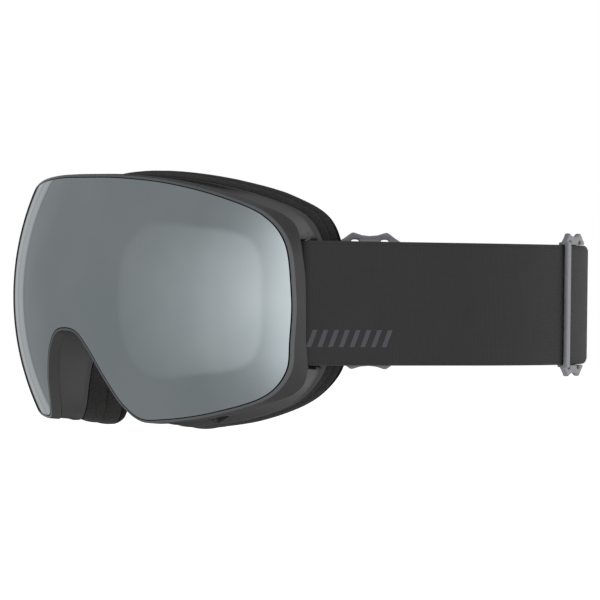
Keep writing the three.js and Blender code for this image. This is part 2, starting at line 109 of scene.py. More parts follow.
# %% Sizes
gap = 0.3
depth = 47.0
lens_radius = 109.0
lens_half_width = 87.3
lens_top, lens_bottom = 45.1, -47.5
lens_thickness = 1.4
lens_clearance, rim_width = 0.4, 1.0
bezel_depth, temple_depth = 4.6, 4.3
shelf_front, shelf_back, wall_front = 103.0, 100.6, 100.3
gasket_edge = -4.8
gasket_inside = -7.4
inner_front, inner_back = 104.3, 103.3

face_top, face_bottom = 46.4, -49.0
face_half_width = 80.1
flange_thickness, flange_width, wall_thickness = 1.8, 9.0, 2.0
brow_setback, nose_setback, temple_setback, cheek_setback = 37.2, 26.0, 67.5, 4.4
foam_layers = (4.2, 3.8, 1.5)
foam_proud = 2.6
nose_foam_extra = 1.1

strap_width, strap_thickness = 47.2, 1.5
strap_z = -2.0
half_span = 86.0
bend_radius, bend_angle = 133.0, math.radians(54)
pin_radius = 1.2
pin_x, pin_y = 83.8, 6.084
wrap_radius = 2.2
return_x = pin_x - wrap_radius
bend_x, bend_y = half_span - bend_radius, pin_y + 76.3
slider_angle = math.radians(32.6)
strap_top, strap_foot = strap_z + strap_width / 2, strap_z - strap_width / 2

lens_shares = [
    (0, 1), (0.245, 0.993), (0.504, 0.942), (0.734, 0.825), (0.88, 0.681), (0.961, 0.466), (1, 0),
    (0.985, -0.347), (0.953, -0.598), (0.871, -0.785), (0.676, -0.926), (0.46, -0.992),
    (0.346, -0.989), (0.289, -0.895), (0.223, -0.667), (0.149, -0.421), (0.08, -0.293), (0, -0.265),
]
face_shares = [
    (0, 1), (0.275, 0.982), (0.549, 0.918), (0.774, 0.813), (0.924, 0.671), (0.985, 0.456), (1, 0),
    (0.99, -0.36), (0.96, -0.6), (0.873, -0.79), (0.71, -0.925), (0.5, -0.985),
    (0.365, -0.994), (0.305, -0.898), (0.268, -0.694), (0.218, -0.51), (0.112, -0.398), (0, -0.367),
]

# %% [markdown]
# ## Curves
#
# A curve through keys is the draughtsman's spline: it passes through every key and bends evenly
# between them. Each key also knows which way is out of the material, so that a rim, a groove or an
# inner edge is the same curve moved in or out.


# %% Curves
def keys_of(shares, half_width, top, bottom):
    half = np.array([(x * half_width, z * top if z > 0 else -z * bottom) for x, z in shares])
    keys = np.vstack([half, half[1:-1][::-1] * (-1, 1)])
    along = np.roll(keys, -1, 0) - np.roll(keys, 1, 0)
    along /= np.linalg.norm(along, axis=1)[:, None]
    return keys, np.column_stack([-along[:, 1], along[:, 0]])


def spline(keys, per_key):
    """A closed curve through the keys, per_key points from each one to the next."""
    p0, p1, p2, p3 = (np.roll(keys, k, 0)[:, None] for k in (1, 0, -1, -2))
    spans = ((p0, p1), (p1, p2), (p2, p3))
    d0, d1, d2 = (np.linalg.norm(b - a, axis=2)[..., None] ** 0.5 for a, b in spans)
    m1 = ((p1 - p0) / d0 - (p2 - p0) / (d0 + d1) + (p2 - p1) / d1) * d1
    m2 = ((p2 - p1) / d1 - (p3 - p1) / (d1 + d2) + (p3 - p2) / d2) * d1
    t = (np.arange(per_key) / per_key)[None, :, None]
    points = (2 * t**3 - 3 * t**2 + 1) * p1 + (t**3 - 2 * t**2 + t) * m1
    points = points + (3 * t**2 - 2 * t**3) * p2 + (t**3 - t**2) * m2
    return points.reshape(-1, 2)


lens_keys = keys_of(lens_shares, lens_half_width, lens_top, lens_bottom)
face_keys = keys_of(face_shares, face_half_width, face_top, face_bottom)
PER_KEY = 12


def outline(keys, d, per_key=PER_KEY):
    """The outline moved out by d: a number, or a function of the way out at each key."""
    points, out = keys
    by = d(out) if callable(d) else np.full(len(points), float(d))
    return spline(points + out * by[:, None], per_key)


def smoothstep(x, low, high):
    t = np.clip((x - low) / (high - low), 0, 1)
    return t * t * (3 - 2 * t)


sphere_centre = np.array([0, lens_radius - depth, 0])


def on_sphere(flat, r):
    """Points of the front view carried along the lens's radii to the radius r."""
    x, z = flat[..., 0], flat[..., 1]
    back = np.sqrt(lens_radius**2 - x**2 - z**2)
    return np.stack([x, -back, z], -1) * (r / lens_radius) + sphere_centre


def sphere_loop(d, r):
    return on_sphere(outline(lens_keys, d), r)


def face_y(x, z):
    up = smoothstep(z, 0.65 * face_bottom, 0.9 * face_top)
    middle = nose_setback + (brow_setback - nose_setback) * up
    side = temple_setback + cheek_setback * (1 - smoothstep(z, 0.7 * face_bottom, 0.5 * face_top))
    around = np.minimum(np.abs(x / (face_half_width + 1)) ** 2.3, 1.1)
    return middle + (side - middle) * around - depth


def nose_weight(x, z):
    across = 1 - smoothstep(np.abs(x), 0.3 * face_half_width, 0.65 * face_half_width)
    down = 1 - smoothstep(z, 0.8 * face_bottom, 0.1 * face_top)
    return across * down


def face_loop(d, behind):
    flat = outline(face_keys, d)
    x, z = flat[:, 0], flat[:, 1]
    lift = behind * (1 + nose_foam_extra * nose_weight(x, z)) if behind > 0 else behind
    return np.column_stack([x, face_y(x, z) + lift, z])


print("lens outline", len(outline(lens_keys, 0)), "points")

# %% [markdown]
# ## Tools for the bench
#
# Most pieces here are long mouldings or webbing. A flat grid primitive is laid round the object like
# a sheet of wax, one row of its points along each guide curve, and its seam is welded. Edges are then
# rounded with a Bevel, because no moulded edge is sharp, and Weighted Normal keeps the broad faces
# reading as flat or evenly curved beside the small rounds.


# %% Tools
def pick_none():
    bpy.ops.object.select_all(action="DESELECT")


def pick(piece):
    pick_none()
    bpy.context.view_layer.objects.active = piece
    piece.select_set(True)


def edit(piece, *steps):
    """Runs mesh operators on everything in the piece, in edit mode."""
    pick(piece)
    bpy.ops.object.mode_set(mode="EDIT")
    for step in steps:
        bpy.ops.mesh.select_all(action="SELECT")
        step()
    bpy.ops.object.mode_set(mode="OBJECT")


def weld():
    bpy.ops.mesh.remove_doubles(threshold=1e-6)


def face_out():
    bpy.ops.mesh.normals_make_consistent(inside=False)


def lay_grid(name, rows, close_rows=False, close_columns=False):
    """A grid whose point i of row j is rows[j][i]. Rows or columns that close meet their first again."""
    rows = [np.asarray(row, float) * MM for row in rows]
    if close_columns:
        rows = [np.vstack([row, row[:1]]) for row in rows]
    if close_rows:
        rows.append(rows[0])
    pick_none()
    bpy.ops.mesh.primitive_grid_add(x_subdivisions=len(rows[0]) - 1, y_subdivisions=len(rows) - 1)
    piece = bpy.context.object
    piece.name = piece.data.name = name
    piece.data.vertices.foreach_set("co", np.vstack(rows).ravel())
    if close_rows or close_columns:
        edit(piece, weld, lambda: bpy.ops.mesh.fill_holes(sides=0), face_out)
    return piece


def finish_with(piece, kind, **settings):
    pick(piece)
    modifier = piece.modifiers.new(kind.title(), kind)
    for key, value in settings.items():
        setattr(modifier, key, value)
    bpy.ops.object.modifier_apply(modifier=modifier.name)


def round_edges(piece, width, segments=2, angle=35):
    finish_with(
        piece, "BEVEL", width=width * MM, segments=segments, limit_method="ANGLE",
        angle_limit=math.radians(angle), use_clamp_overlap=True,
    )


def smooth(piece, angle=40, weighted=True):
    pick(piece)
    bpy.ops.object.shade_smooth_by_angle(angle=math.radians(angle))
    if weighted:
        finish_with(piece, "WEIGHTED_NORMAL", keep_sharp=True, weight=80)


def say(piece):
    sides = [round(d * 1000, 1) for d in piece.dimensions]
    print(f"{piece.name}: {len(piece.data.polygons)} faces, {sides} mm")


# %% [markdown]
# ## A node at a time
#
# Every finish is a small graph of nodes. One function adds a node with its settings and its links, and
# one turns the hex colours of a paint chart into the linear light that a renderer works in.


# %% Material tools
def colour(hex_code):
    channels = [int(hex_code[i : i + 2], 16) / 255 for i in (1, 3, 5)]
    return [c / 12.92 if c <= 0.04045 else ((c + 0.055) / 1.055) ** 2.4 for c in channels] + [1.0]


def node(tree, kind, inputs=None, **settings):
    """Adds a node. An input is a value, or a (node, output) pair to link from."""
    made = tree.nodes.new(kind)
    for key, value in settings.items():
        setattr(made, key, value)
    for key, value in (inputs or {}).items():
        if isinstance(value, tuple) and isinstance(value[0], bpy.types.Node):
            tree.links.new(value[0].outputs[value[1]], made.inputs[key])
        else:
            made.inputs[key].default_value = value
    return made


def new_material(name, **shader):
    material = bpy.data.materials.new(name)
    material.use_nodes = True
    tree = material.node_tree
    tree.nodes.clear()
    surface = node(tree, "ShaderNodeBsdfPrincipled", shader)
    node(tree, "ShaderNodeOutputMaterial", {"Surface": (surface, "BSDF")})
    material.diffuse_color = shader.get("Base Color", (0.5, 0.5, 0.5, 1))
    return material, tree, surface


def ramp(tree, source, stops):
    made = node(tree, "ShaderNodeValToRGB", {"Fac": source})
    elements = made.color_ramp.elements
    while len(elements) < len(stops):
        elements.new(0.5)
    for element, (place, value) in zip(elements, stops):
        element.position = place
        element.color = value if len(value) == 4 else [*value, 1]
    return made


def dress(piece, *materials):
    piece.data.materials.clear()
    for material in materials:
        piece.data.materials.append(material)


# %% [markdown]
# ## Mirror coating
#
# The lens is moulded polycarbonate. A few atoms of metal, laid on in a vacuum, turn its front into a
# mirror that passes a little light. Nearly all that the eye sees is the room reflected in it, so the
# finish is a bright, slightly blue metal with very low roughness. A faint uneven haze, a few
# centimetres across, keeps it from looking like polished steel. Behind the coating, and on the cut
# edge, the polycarbonate is smoke grey and glossy.

# %% Mirror and smoke
mirror, tree, shader = new_material(
    "polycarbonate_silver_mirror_coating",
    **{"Base Color": colour("#B7BDC1"), "Metallic": 1.0, "Roughness": 0.05},
)
place = node(tree, "ShaderNodeTexCoord")
haze = node(
    tree, "ShaderNodeTexNoise", {"Vector": (place, "Object"), "Scale": 35.0, "Detail": 2.0},
)
hazy = node(
    tree, "ShaderNodeMapRange",
    {"Value": (haze, "Fac"), "From Min": 0.3, "From Max": 0.7, "To Min": 0.035, "To Max": 0.075},
)
tree.links.new(hazy.outputs["Result"], shader.inputs["Roughness"])
tint = ramp(tree, (haze, "Fac"), [(0.3, colour("#B0BABE")), (0.7, colour("#B8C1C4"))])
tree.links.new(tint.outputs["Color"], shader.inputs["Base Color"])

smoke, tree, shader = new_material(
    "polycarbonate_smoke_grey_moulded",
    **{"Base Color": colour("#1E2023"), "Roughness": 0.08, "IOR": 1.585},
)
place = node(tree, "ShaderNodeTexCoord")
haze = node(tree, "ShaderNodeTexNoise", {"Vector": (place, "Object"), "Scale": 40.0})
tint = ramp(tree, (haze, "Fac"), [(0.3, colour("#1B1D20")), (0.7, colour("#232629"))])
tree.links.new(tint.outputs["Color"], shader.inputs["Base Color"])


# %% [markdown]
# ## Moulded frame
#
# The frame is soft polyurethane, moulded in a spark-eroded tool. That leaves a fine even grain, about
# a third of a millimetre across, which spreads the highlights. Here the grain is a bump from a fine
# noise, and a slow second noise shifts the colour and the sheen a little, as handling does.


# %% Grained plastic
def grained_plastic(name, dark, light, roughness, grain_mm, strength, ior=1.5):
    material, tree, shader = new_material(
        name, **{"Base Color": colour(dark), "Roughness": roughness, "IOR": ior},
    )
    place = node(tree, "ShaderNodeTexCoord")
    slow = node(
        tree, "ShaderNodeTexNoise", {"Vector": (place, "Object"), "Scale": 45.0, "Detail": 3.0},
    )
    tint = ramp(tree, (slow, "Fac"), [(0.32, colour(dark)), (0.68, colour(light))])
    tree.links.new(tint.outputs["Color"], shader.inputs["Base Color"])
    sheen = node(
        tree, "ShaderNodeMapRange",
        {"Value": (slow, "Fac"), "To Min": roughness - 0.07, "To Max": roughness + 0.07},
    )
    tree.links.new(sheen.outputs["Result"], shader.inputs["Roughness"])
    grain = node(
        tree, "ShaderNodeTexNoise",
        {"Vector": (place, "Object"), "Scale": 1000 / grain_mm, "Detail": 2.0},
    )
    bump = node(
        tree, "ShaderNodeBump",
        {"Height": (grain, "Fac"), "Strength": strength, "Distance": 0.2 * MM},
    )
    tree.links.new(bump.outputs["Normal"], shader.inputs["Normal"])
    return material


frame_grain = grained_plastic(
    "polyurethane_charcoal_spark_grained", "#272827", "#2C2D2C", 0.46, 0.35, 0.35,
)
# The lip's lighter grey is a painted highlight, for the light its front face catches. Its lower roughness
# is its smoother finish.
lip_painted_highlight = grained_plastic("polyurethane_grey_lip_painted_highlight", "#484A4C", "#4F5153", 0.3, 0.3, 0.1)
rim_satin = grained_plastic("nylon_dark_grey_moulded", "#333536", "#3A3C3D", 0.38, 0.3, 0.2)
slider_satin = grained_plastic("acetal_grey_satin_moulded", "#66676C", "#707176", 0.27, 0.3, 0.12)
silicone_print = grained_plastic("silicone_grey_printed", "#4A4B4F", "#54555A", 0.42, 0.8, 0.3, 1.41)


# %% [markdown]
# ## Foam and fleece
#
# Open-cell foam is a sponge of broken bubbles, here about 0.7 mm across. From a hand's width away it
# reads as a matt dark grey with fine pits. A Voronoi pattern gives the pits: its distance to the
# nearest cell edge is the height. The pit floors are painted darker, a painted shade where the pits
# shadow themselves. Fleece is brushed knit: no pits, a short nap that catches light at grazing
# angles, which is what sheen is for.


# %% Foam
def foam(name, dark, light, cell_mm, strength):
    material, tree, shader = new_material(
        name,
        **{"Base Color": colour(dark), "Roughness": 0.95, "Specular IOR Level": 0.2,
           "Sheen Weight": 0.03, "Sheen Roughness": 0.6},
    )
    place = node(tree, "ShaderNodeTexCoord")
    cells = node(
        tree, "ShaderNodeTexVoronoi",
        {"Vector": (place, "Object"), "Scale": 1000 / cell_mm, "Randomness": 1.0},
        feature="DISTANCE_TO_EDGE",
    )
    # The cell rims take the lighter colour and the pit floors the darker one: painted shade in the pits.
    tint = ramp(tree, (cells, "Distance"), [(0.0, colour(light)), (0.35, colour(dark))])
    tree.links.new(tint.outputs["Color"], shader.inputs["Base Color"])
    lumps = node(
        tree, "ShaderNodeTexNoise", {"Vector": (place, "Object"), "Scale": 180.0, "Detail": 3.0},
    )
    height = node(
        tree, "ShaderNodeMath", {0: (cells, "Distance"), 1: (lumps, "Fac")}, operation="SUBTRACT",
    )
    bump = node(
        tree, "ShaderNodeBump",
        {"Height": (height, "Value"), "Strength": strength, "Distance": 0.4 * MM}, invert=True,
    )
    tree.links.new(bump.outputs["Normal"], shader.inputs["Normal"])
    return material


face_foam = foam("polyurethane_foam_open_cell_charcoal", "#161616", "#2B2B2A", 0.8, 0.8)
gasket_foam = foam("polyethylene_foam_closed_cell_black", "#141414", "#202020", 0.5, 0.4)
vent_mesh_foam = foam("polyurethane_foam_coarse_filter", "#101010", "#262626", 1.2, 1.0)

fleece, tree, shader = new_material(
    "polyester_fleece_black_brushed",
    **{"Base Color": colour("#141414"), "Roughness": 1.0, "Specular IOR Level": 0.1,
       "Sheen Weight": 0.12, "Sheen Roughness": 0.5, "Sheen Tint": colour("#8A8A8C")},
)
place = node(tree, "ShaderNodeTexCoord")
nap = node(
    tree, "ShaderNodeTexNoise",
    {"Vector": (place, "Object"), "Scale": 1400.0, "Detail": 4.0, "Roughness": 0.7},
)
tint = ramp(tree, (nap, "Fac"), [(0.35, colour("#0E0E0E")), (0.7, colour("#1E1E1E"))])
tree.links.new(tint.outputs["Color"], shader.inputs["Base Color"])
bump = node(
    tree, "ShaderNodeBump", {"Height": (nap, "Fac"), "Strength": 0.9, "Distance": 0.3 * MM},
)
tree.links.new(bump.outputs["Normal"], shader.inputs["Normal"])


# %% [markdown]
# ## Elastic webbing
#
# The strap is woven on a narrow loom: rubber threads run along it, and polyester is woven round them.
# The eye sees fine ribs across the strap, one for each pass of the shuttle, and rows of warp along
# it, with a tighter flat selvedge at each edge. The pattern follows the strap round its bends, so it
# reads the strap's own UV map, whose U is the length along it and V the way round its section, both
# in millimetres. The ribs are 0.7 mm apart and the rows 1 mm. A wave's bands repeat every pi / 10 at a
# scale of 1, which is where the scales come from. A woven motif of plain slanting bars decorates each
# temple.


# %% Webbing
rib_spacing, row_spacing = 0.7, 1.0


def webbing(name, motif_from=None):
    material, tree, shader = new_material(
        name,
        **{"Base Color": colour("#38383A"), "Roughness": 0.85, "Specular IOR Level": 0.2,
           "Sheen Weight": 0.05, "Sheen Roughness": 0.45},
    )
    uv = node(tree, "ShaderNodeUVMap", uv_map="UVMap")
    split = node(tree, "ShaderNodeSeparateXYZ", {"Vector": (uv, "UV")})
    along_strap = {"Vector": (uv, "UV")}
    ribs = node(
        tree, "ShaderNodeTexWave",
        {**along_strap, "Scale": math.pi / 10 / rib_spacing, "Distortion": 0.6, "Detail": 1.0,
         "Detail Scale": 0.8},
        bands_direction="X",
    )
    rows = node(
        tree, "ShaderNodeTexWave",
        {**along_strap, "Scale": math.pi / 10 / row_spacing, "Distortion": 0.3, "Detail": 1.0},
        bands_direction="Y",
    )
    fuzz = node(
        tree, "ShaderNodeTexNoise", {**along_strap, "Scale": 2.2, "Detail": 3.0, "Roughness": 0.6},
    )
    slow = node(tree, "ShaderNodeTexNoise", {**along_strap, "Scale": 0.05, "Detail": 2.0})
    weave = node(
        tree, "ShaderNodeMath", {0: (rows, "Fac"), 1: 0.35, 2: (ribs, "Fac")}, operation="MULTIPLY_ADD",
    )
    mixed = node(
        tree, "ShaderNodeMath", {0: (fuzz, "Fac"), 1: 0.8, 2: (weave, "Value")}, operation="MULTIPLY_ADD",
    )
    tint = ramp(
        tree, (mixed, "Value"),
        [(0.3, colour("#252526")), (1.0, colour("#303031"))],
    )
    shade = node(
        tree, "ShaderNodeMapRange", {"Value": (slow, "Fac"), "To Min": 0.9, "To Max": 1.1},
    )
    toned = node(
        tree, "ShaderNodeMix",
        {6: (tint, "Color"), "Factor": 1.0, 7: (shade, "Result")}, data_type="RGBA", blend_type="MULTIPLY",
    )
    last = (toned, 2)
    if motif_from is not None:
        last = motif(tree, split, motif_from, last)
    tree.links.new(last[0].outputs[last[1]], shader.inputs["Base Color"])
    bump = node(
        tree, "ShaderNodeBump", {"Height": (mixed, "Value"), "Strength": 0.35, "Distance": 0.2 * MM},
    )
    tree.links.new(bump.outputs["Normal"], shader.inputs["Normal"])
    return material


def inside(tree, value, low, high):
    above = node(tree, "ShaderNodeMath", {0: value, 1: low}, operation="GREATER_THAN")
    below = node(tree, "ShaderNodeMath", {0: value, 1: high}, operation="LESS_THAN")
    return node(
        tree, "ShaderNodeMath", {0: (above, "Value"), 1: (below, "Value")}, operation="MULTIPLY",
    )


def motif(tree, split, places, under):
    """Slanting bars in a lighter thread, between two heights and from each of the places along."""
    from_v, to_v = 34.5, 41.0
    slant, pitch, bar_width = 0.45, 5.2, 2.2
    lean = node(
        tree, "ShaderNodeMath", {0: (split, "Y"), 1: slant, 2: (split, "X")}, operation="MULTIPLY_ADD",
    )
    bars = node(tree, "ShaderNodeMath", {0: (lean, "Value"), 1: pitch}, operation="MODULO")
    stripe = node(tree, "ShaderNodeMath", {0: (bars, "Value"), 1: bar_width}, operation="LESS_THAN")
    high = inside(tree, (split, "Y"), from_v, to_v)
    mask = node(
        tree, "ShaderNodeMath", {0: (stripe, "Value"), 1: (high, "Value")}, operation="MULTIPLY",
    )
    total = None
    for start, end in places:
        span = inside(tree, (lean, "Value"), start, end)
        if total is None:
            total = (span, "Value")
        else:
            both = node(tree, "ShaderNodeMath", {0: total, 1: (span, "Value")}, operation="MAXIMUM")
            total = (both, "Value")
    full = node(tree, "ShaderNodeMath", {0: (mask, "Value"), 1: total}, operation="MULTIPLY")
    mix = node(
        tree, "ShaderNodeMix",
        {"Factor": (full, "Value"), 6: under, 7: colour("#4B4A50")}, data_type="RGBA",
    )
    return (mix, 2)


# %% [markdown]
# ## Metal and clear plastic
#
# The anchor pins are drawn steel wire and the magnets are nickel plated. Both are metals, so they
# keep the default IOR and take their look from roughness and colour. The inner lens is clear
# cellulose, which lets light through.

# %% Metal and clear plastic
steel, tree, shader = new_material(
    "steel_wire_drawn", **{"Base Color": colour("#A4A5A8"), "Metallic": 1.0, "Roughness": 0.32},
)
place = node(tree, "ShaderNodeTexCoord")
stretched = node(tree, "ShaderNodeMapping", {"Vector": (place, "Object"), "Scale": (2500, 2500, 60)})
drawn = node(tree, "ShaderNodeTexNoise", {"Vector": (stretched, "Vector"), "Scale": 1.0})
rough = node(
    tree, "ShaderNodeMapRange", {"Value": (drawn, "Fac"), "To Min": 0.22, "To Max": 0.42},
)
tree.links.new(rough.outputs["Result"], shader.inputs["Roughness"])

nickel, tree, shader = new_material(
    "nickel_plated_magnet", **{"Base Color": colour("#B9B7B0"), "Metallic": 1.0, "Roughness": 0.2},
)
place = node(tree, "ShaderNodeTexCoord")
cloud = node(tree, "ShaderNodeTexNoise", {"Vector": (place, "Object"), "Scale": 900.0})
rough = node(
    tree, "ShaderNodeMapRange", {"Value": (cloud, "Fac"), "To Min": 0.14, "To Max": 0.28},
)
tree.links.new(rough.outputs["Result"], shader.inputs["Roughness"])

clear, tree, shader = new_material(
    "cellulose_clear_moulded",
    **{"Base Color": colour("#C9CDD0"), "Roughness": 0.06, "IOR": 1.48, "Transmission Weight": 0.9},
)
place = node(tree, "ShaderNodeTexCoord")
film = node(tree, "ShaderNodeTexNoise", {"Vector": (place, "Object"), "Scale": 30.0})
rough = node(
    tree, "ShaderNodeMapRange", {"Value": (film, "Fac"), "To Min": 0.04, "To Max": 0.09},
)
tree.links.new(rough.outputs["Result"], shader.inputs["Roughness"])

# %% [markdown]
# ## The outer lens
#
# A goggle lens is a sheet of polycarbonate moulded as part of a sphere and cut to its outline on a
# router. A mirror shows every flaw in its mesh, so the sheet is a grid with even cells, laid between
# the four sides of the outline and carried on to the sphere. Solidify gives it its thickness, and a
# small bevel is the polished cut edge.


# %% Lens
def sides_of(edge, corner_keys, per_key):
    """Splits a closed outline at four keys: top, left, bottom and right sides, each left to right or
    bottom to top."""
    marks = [k * per_key for k in corner_keys]
    loop = np.vstack([edge, edge])
    parts = [loop[a : b + 1] for a, b in zip(marks, marks[1:] + [marks[0] + len(edge)])]
    return parts


def resample(points, count):
    steps = np.r_[0, np.cumsum(np.linalg.norm(np.diff(points, axis=0), axis=1))]
    at = np.linspace(0, steps[-1], count)
    return np.column_stack([np.interp(at, steps, points[:, k]) for k in range(points.shape[1])])


def filled(keys, d, across, up):
    """An even grid inside an outline: each point is the blend of the four sides it lies between."""
    edge = outline(keys, d, 24)
    right, bottom, left, top = sides_of(edge, [4, 9, 25, 30], 24)
    top, bottom = resample(top, across + 1), resample(bottom[::-1], across + 1)
    right, left = resample(right[::-1], up + 1), resample(left, up + 1)
    s = np.linspace(0, 1, across + 1)[None, :, None]
    t = np.linspace(0, 1, up + 1)[:, None, None]
    flat = (1 - t) * bottom[None] + t * top[None] + (1 - s) * left[:, None] + s * right[:, None]
    corners = (1 - s) * (1 - t) * bottom[0] + s * (1 - t) * bottom[-1]
    corners = corners + (1 - s) * t * top[0] + s * t * top[-1]
    return flat - corners


def lens_sheet(name, d, r, thickness, across=110, up=60):
    piece = lay_grid(name, list(on_sphere(filled(lens_keys, d, across, up), r)))
    middle = piece.data.polygons[len(piece.data.polygons) // 2]
    if middle.normal.y > 0:
        edit(piece, lambda: bpy.ops.mesh.flip_normals())
    finish_with(piece, "SOLIDIFY", thickness=thickness * MM, offset=-1, use_even_offset=True)
    round_edges(piece, 0.22, 2, 60)
    smooth(piece, 50)
    return piece


outer_lens = lens_sheet("outer_lens_mirror", 0.15, lens_radius, lens_thickness)
dress(outer_lens, mirror, smoke)
centre = Vector(sphere_centre * MM)
for face in outer_lens.data.polygons:
    outward = (face.center - centre).normalized()
    face.material_index = 0 if face.normal.dot(outward) > 0.3 else 1
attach(outer_lens, "lens_unit")
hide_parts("outer_lens")
say(outer_lens)

inner_lens = lens_sheet("inner_lens_clear", gasket_edge, inner_front, inner_front - inner_back, 70, 40)
dress(inner_lens, clear)
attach(inner_lens, "lens_unit")
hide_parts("inner_lens")
say(inner_lens)

# %% [markdown]
# ## The lens unit's foam and carrier
#
# Between the two lenses runs a strip of foam that keeps the air between them dry. A nylon ring behind
# the edge of the outer lens carries six magnets.


# %% Gasket and carrier
def ring_piece(name, loops, bevel, angle=35, segments=2):
    piece = lay_grid(name, loops, close_rows=True, close_columns=True)
    round_edges(piece, bevel, segments, angle)
    smooth(piece, 40)
    return piece


gasket_front = lens_radius - lens_thickness - gap
gasket_back = inner_front + gap
gasket = ring_piece(
    "lens_gasket_foam",
    [sphere_loop(gasket_edge, gasket_front), sphere_loop(gasket_edge, gasket_back),
     sphere_loop(gasket_inside, gasket_back), sphere_loop(gasket_inside, gasket_front)],
    0.3,
)
dress(gasket, gasket_foam)
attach(gasket, "lens_unit")
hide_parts("lens_gasket")
say(gasket)

magnets = [n for n in frame["nodes"] if "_magnet_" in n]
for name in magnets:
    dress(frame["nodes"][name], nickel)
dress(frame["nodes"]["lens_carrier"], rim_satin)
print(len(magnets), "magnets keep their packed shape")


# %% [markdown]
# ## The bezel
#
# The bezel is the moulded front of the frame. Its lip stands round the lens with a hairline gap, and
# is smoother than the grained sides. Its lighter grey is a painted highlight, for the light its front
# face catches. The sides flare at the temples, where the strap comes out from behind them. A row of
# the grid follows each edge of the bezel's section, and the Bevel that rounds those edges makes the
# thin bright line that a moulded edge shows.


# %% Bezel
def bezel_back(d, at_brow, at_temple, spread=1.0):
    """An edge of the bezel's side, behind its lip. Spread is how much of the flare it has."""
    flat = outline(lens_keys, d)
    x, z = flat[:, 0], flat[:, 1]
    front = sphere_loop(lens_clearance + rim_width, lens_radius)[:, 1]
    start = np.abs(x) - d
    across = np.minimum(1, start / lens_half_width) ** 16
    corner = smoothstep(start, 0.8 * lens_half_width, 0.95 * lens_half_width)
    upper_corner = corner * smoothstep(z, 5, 22)
    reach = at_brow + (at_temple - at_brow) * across - 0.4 * at_brow * upper_corner
    flare = spread * smoothstep(start, 0.82 * lens_half_width, 0.95 * lens_half_width)
    wide = np.abs(x) * (1 - flare) + (lens_half_width + d) * flare
    return np.column_stack([np.sign(x) * wide, front + reach, z])


rim_in, rim_out = lens_clearance, lens_clearance + rim_width
shelf_in = gasket_edge - 2 * gap
bezel = lay_grid(
    "front_bezel_moulding",
    [sphere_loop(rim_in, lens_radius), sphere_loop(rim_out, lens_radius),
     bezel_back(rim_out + 0.15, 0.5 * bezel_depth, 0.5 * temple_depth, 0.6),
     bezel_back(rim_out + 0.3, bezel_depth, temple_depth),
     bezel_back(rim_in - 0.2, bezel_depth, temple_depth),
     bezel_back(rim_in - 0.2, bezel_depth - 1, bezel_depth - 1),
     sphere_loop(rim_in - 0.2, shelf_back), sphere_loop(shelf_in, shelf_back),
     sphere_loop(shelf_in, shelf_front), sphere_loop(rim_in, shelf_front)],
    close_rows=True, close_columns=True,
)
dress(bezel, frame_grain, lip_painted_highlight)
# The faces on the lens's sphere, which form the lip's front, take the lighter grey: a painted highlight.
for face in bezel.data.polygons:
    corners = [(bezel.data.vertices[i].co - centre).length / MM for i in face.vertices]
    face.material_index = 1 if max(abs(r - lens_radius) for r in corners) < 0.02 else 0
round_edges(bezel, 0.3, 3, 40)
smooth(bezel, 40)
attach(bezel, "frame")
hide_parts("front_bezel")
say(bezel)

# %% [markdown]
# ## The rear frame
#
# Behind the bezel the same soft plastic makes a thin wall that widens to the flange the foam is glued
# to. It bends to the face. At the temples and round the nose its outside is faired: blended out until
# it is flush with the bezel, except where the strap needs room to pass. Vents through the brow and the
# cheeks let damp air out. They are cut with rounded boxes, because slots in a moulding have rounded
# ends. The boxes are joined first, so that the slow Boolean, which has to allow for the faired wall
# crossing itself, runs only once. Small arms hold the strap's pins.


# %% Rear frame
def solid_box(low, high, bevel=0.0):
    pick_none()
    low, high = np.array(low) * MM, np.array(high) * MM
    bpy.ops.mesh.primitive_cube_add(size=1, location=(low + high) / 2, scale=high - low)
    piece = bpy.context.object
    bpy.ops.object.transform_apply(location=True, rotation=True, scale=True)
    if bevel:
        finish_with(piece, "BEVEL", width=bevel * MM, segments=4, limit_method="NONE")
    return piece


def rod(x, y, low_z, high_z, radius, sides=40):
    pick_none()
    bpy.ops.mesh.primitive_cylinder_add(
        vertices=sides, radius=radius * MM, depth=(high_z - low_z) * MM,
        location=(x * MM, y * MM, (low_z + high_z) / 2 * MM),
    )
    piece = bpy.context.object
    bpy.ops.object.transform_apply(location=True, rotation=True, scale=True)
    return piece


def cut_or_join(piece, tool, operation, crossing=False):
    finish_with(piece, "BOOLEAN", operation=operation, object=tool, solver="EXACT", use_self=crossing)
    bpy.data.objects.remove(tool)


def join(pieces):
    pick_none()
    for piece in pieces:
        piece.select_set(True)
    bpy.context.view_layer.objects.active = pieces[0]
    bpy.ops.object.join()
    return bpy.context.object


def fairing(wall, flush):
    """The wall, pushed out flush with the bezel wherever the strap doesn't pass."""
    off_strap = np.abs(flush[:, 2:] - strap_z) - strap_width / 2
    temple = smoothstep(np.abs(wall[:, :1]), 40, 60)
    nose = smoothstep(-flush[:, 2:], 4, 12) * (1 - temple)
    return wall + (flush - wall) * (smoothstep(off_strap, 0.35, 0.9) * temple + nose)


def flange_edge(out):
    """The flange stands a little proud of the wall along the cheeks, as far as the foam does."""
    beside_nose = smoothstep(np.abs(face_keys[0][:, 0]), 30, 45)
    return 1.9 * np.clip(-1.4 * out[:, 1], 0, 1) ** 2 * beside_nose


